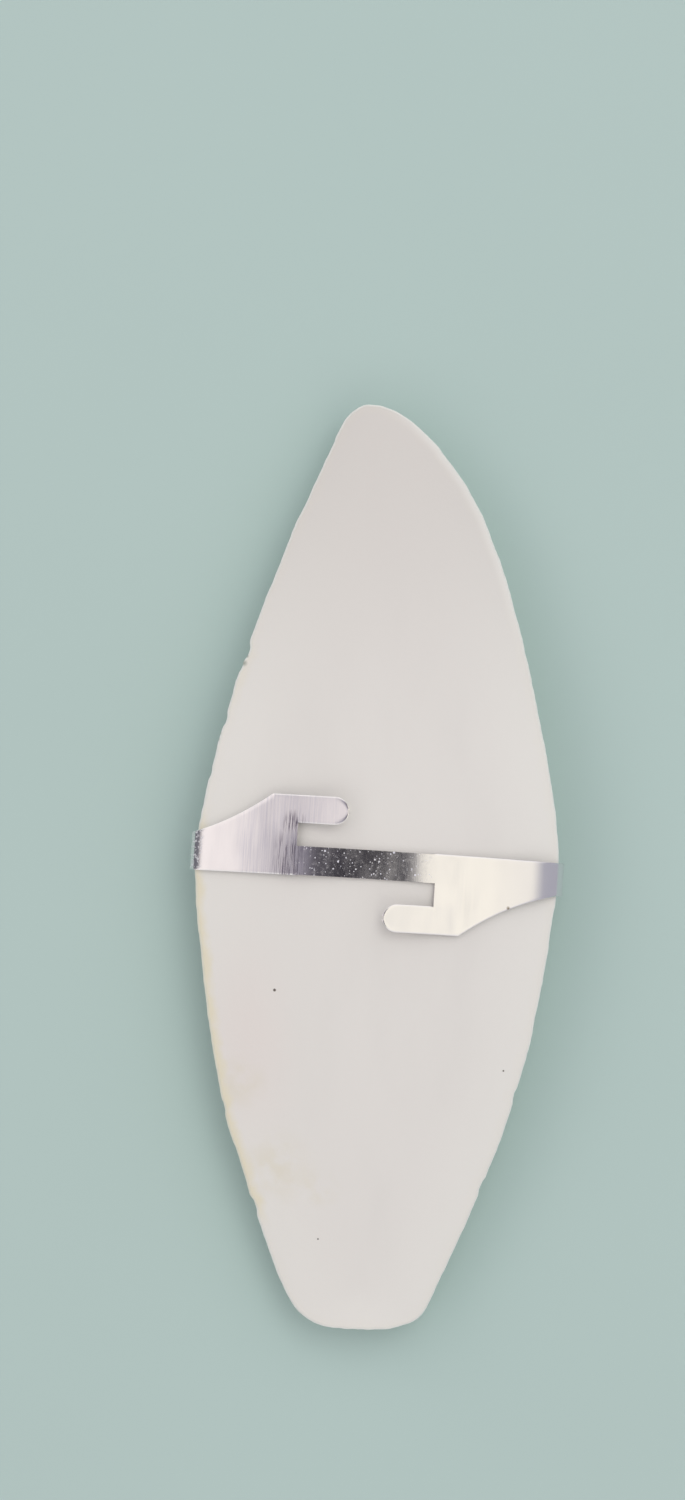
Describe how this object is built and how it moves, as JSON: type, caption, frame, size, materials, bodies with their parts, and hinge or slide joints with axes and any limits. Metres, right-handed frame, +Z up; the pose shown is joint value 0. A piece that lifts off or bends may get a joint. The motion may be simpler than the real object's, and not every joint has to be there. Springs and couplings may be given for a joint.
{
  "type": "cuttlebone with cage clip",
  "caption": "Chalky lens-shaped cuttlebone lying on its soft belly, with a folded sheet-metal strip round its waist whose hooks hang it on a cage's wires.",
  "frame": {"origin": "on the resting plane, under the middle of the whole part's box", "axes": "+Y along the bone towards its front end, +X across it, +Z up out of the hard back and the clip's hooks"},
  "size_m": [0.0512, 0.127, 0.0163],
  "materials": {
    "bone": "chalky matt, faintly granular",
    "clip_metal": "bright rolled sheet with a fine straight grain"
  },
  "bodies": {
    "root": {"bone": "bone", "clip": "clip_metal"}
  },
  "joints": []
}
